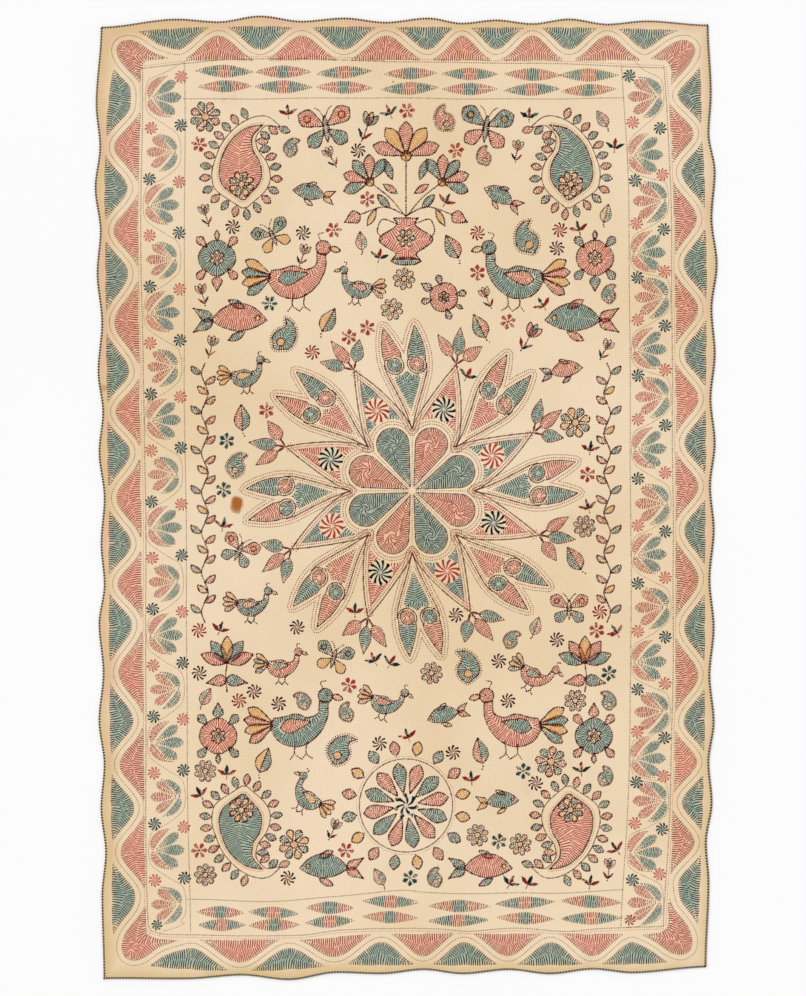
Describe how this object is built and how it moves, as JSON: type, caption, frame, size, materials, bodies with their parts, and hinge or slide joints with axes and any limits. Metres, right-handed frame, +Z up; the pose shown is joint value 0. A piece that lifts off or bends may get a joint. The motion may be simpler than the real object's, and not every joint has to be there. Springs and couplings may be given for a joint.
{
  "type": "kantha cloth",
  "caption": "Flat quilted cotton cloth, hand embroidered in running stitch, with a waved edge, hill border and central lotus.",
  "frame": {"origin": "on the surface the cloth lies on, under the middle of its box", "axes": "+X across the cloth's width, +Y along its length towards the top of the design, +Z up out of its face"},
  "size_m": [1.1194, 1.7348, 0.0034],
  "materials": {
    "quilted_cotton": "aged cream plain-weave cotton, matte, ochre with age at the margins",
    "red_thread": "soft brick and coral red cotton thread, matte",
    "blue_thread": "faded teal and grey-blue cotton thread, matte",
    "dark_thread": "blue-black cotton thread of the wheels and the edge, matte",
    "ochre_thread": "ochre yellow cotton thread, matte",
    "brown_thread": "maroon brown cotton thread of the outlines, matte",
    "pale_thread": "undyed cream quilting thread, matte",
    "pink_thread": "faded pink cotton thread of the echo lines, matte",
    "olive_thread": "olive brown cotton thread of the dotted lines, matte"
  },
  "bodies": {
    "root": {"quilted_cloth": "quilted_cotton"}
  },
  "joints": []
}
